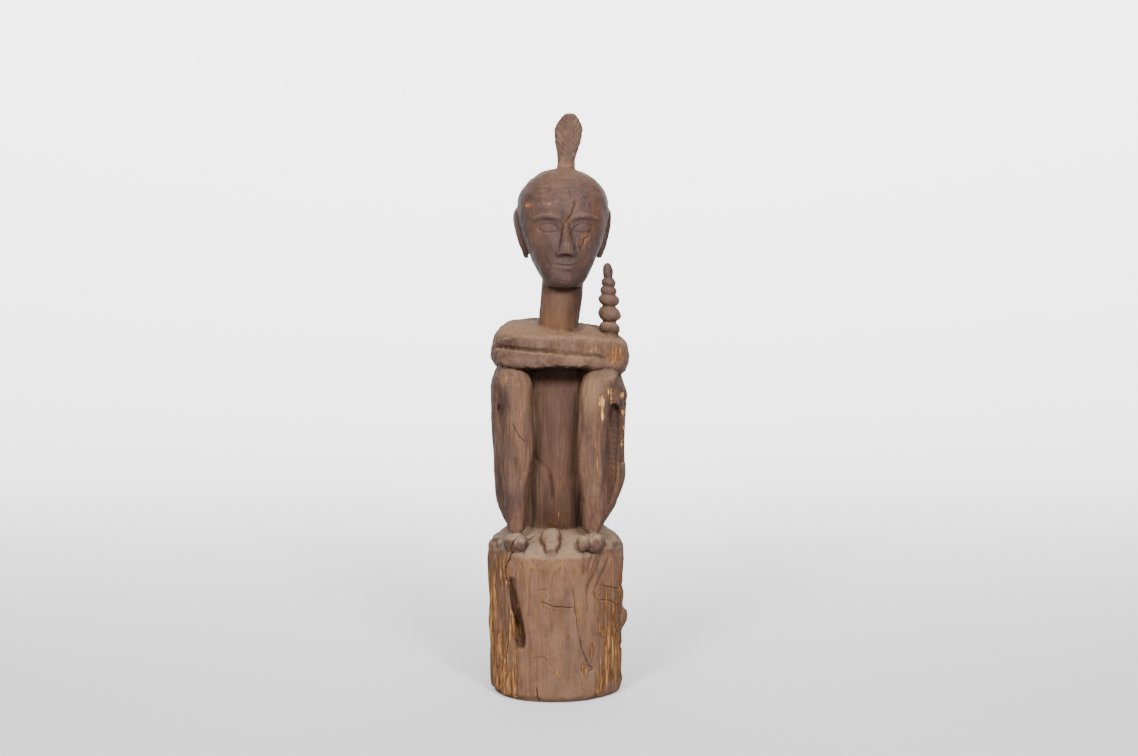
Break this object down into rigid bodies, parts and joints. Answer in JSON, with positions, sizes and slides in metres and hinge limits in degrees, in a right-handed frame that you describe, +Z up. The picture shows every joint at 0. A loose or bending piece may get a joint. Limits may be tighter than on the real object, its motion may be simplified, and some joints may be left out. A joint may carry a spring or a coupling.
{
  "type": "seated wooden ancestor figure",
  "caption": "Carved wooden man squatting on a round log, arms crossed over his knees, with a leaf-shaped crest on the crown and a knobbed finial on one shoulder",
  "frame": {"origin": "middle of the flat underside of the log base", "axes": "+Z up, the figure faces -Y, +X at the viewer's right (the figure's left)"},
  "size_m": [0.1908, 0.1828, 0.786],
  "materials": {
    "wood": "old weathered dark hardwood, dusty matt with a slight rub on the head"
  },
  "bodies": {
    "root": {"seated_figure": "wood"}
  },
  "joints": []
}
